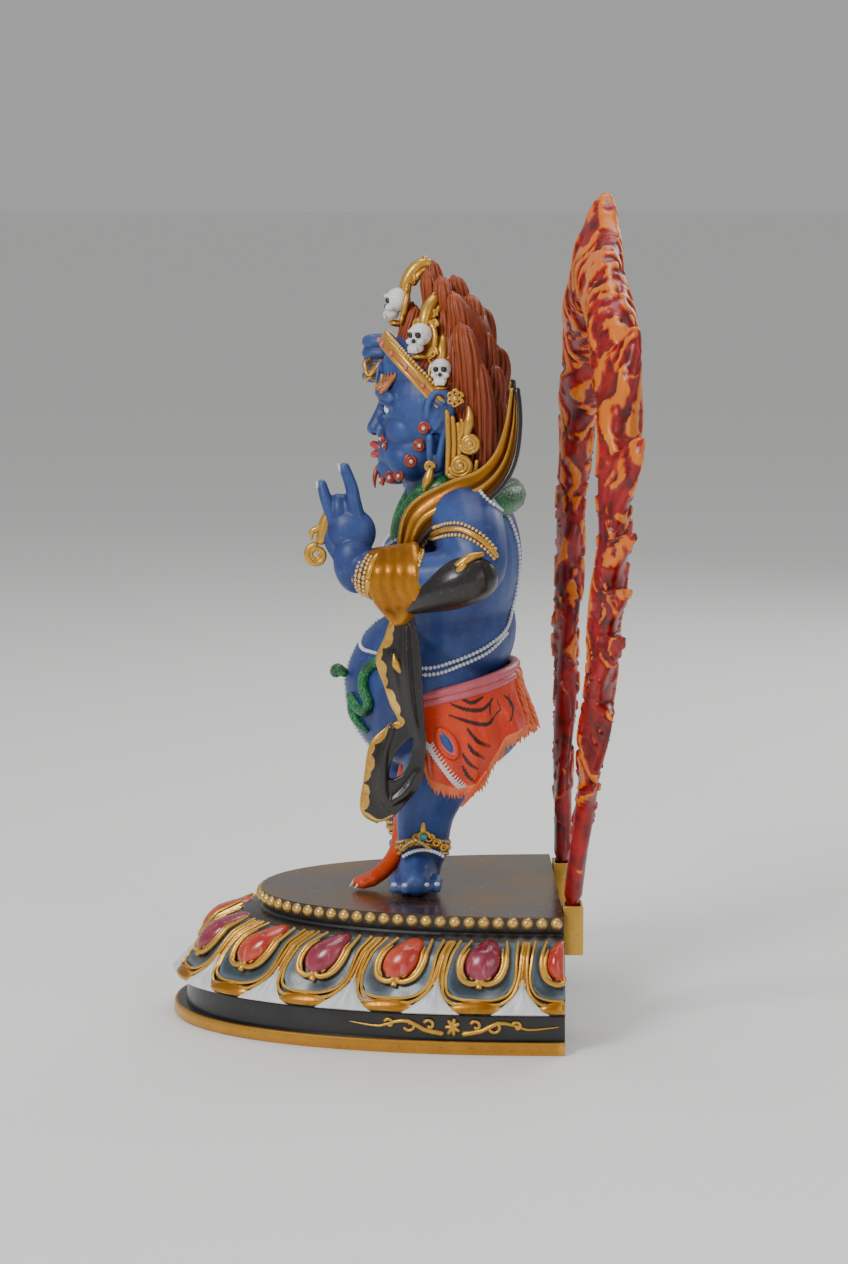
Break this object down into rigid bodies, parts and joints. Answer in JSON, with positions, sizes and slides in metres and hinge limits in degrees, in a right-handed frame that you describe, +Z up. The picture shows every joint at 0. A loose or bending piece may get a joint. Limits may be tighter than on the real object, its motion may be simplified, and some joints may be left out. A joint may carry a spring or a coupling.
{
  "type": "vajrapani statue",
  "caption": "Painted guardian figure with raised arm, skull crown and scarf, standing on a lotus pedestal before a flame aureole held in sockets.",
  "frame": {"origin": "middle of the pedestal's underside", "axes": "+Z up; the figure faces -Y; +X is the figure's own left side"},
  "size_m": [0.2146, 0.1644, 0.298],
  "materials": {
    "figure_paint": "matte mineral blue skin, with orange tiger skin, gilding, black and gold scarf and rust-coloured hair",
    "pedestal_paint": "dark lacquer with gilded rims, slate-blue petals and red domes",
    "flame_paint": "satin deep red with yellow-orange flame licks",
    "socket_gilding": "worn gilding"
  },
  "bodies": {
    "root": {"vajrapani_figure": "figure_paint", "lotus_pedestal": "pedestal_paint", "flame_aureole": "flame_paint", "socket_left": "socket_gilding", "socket_right": "socket_gilding"}
  },
  "joints": []
}
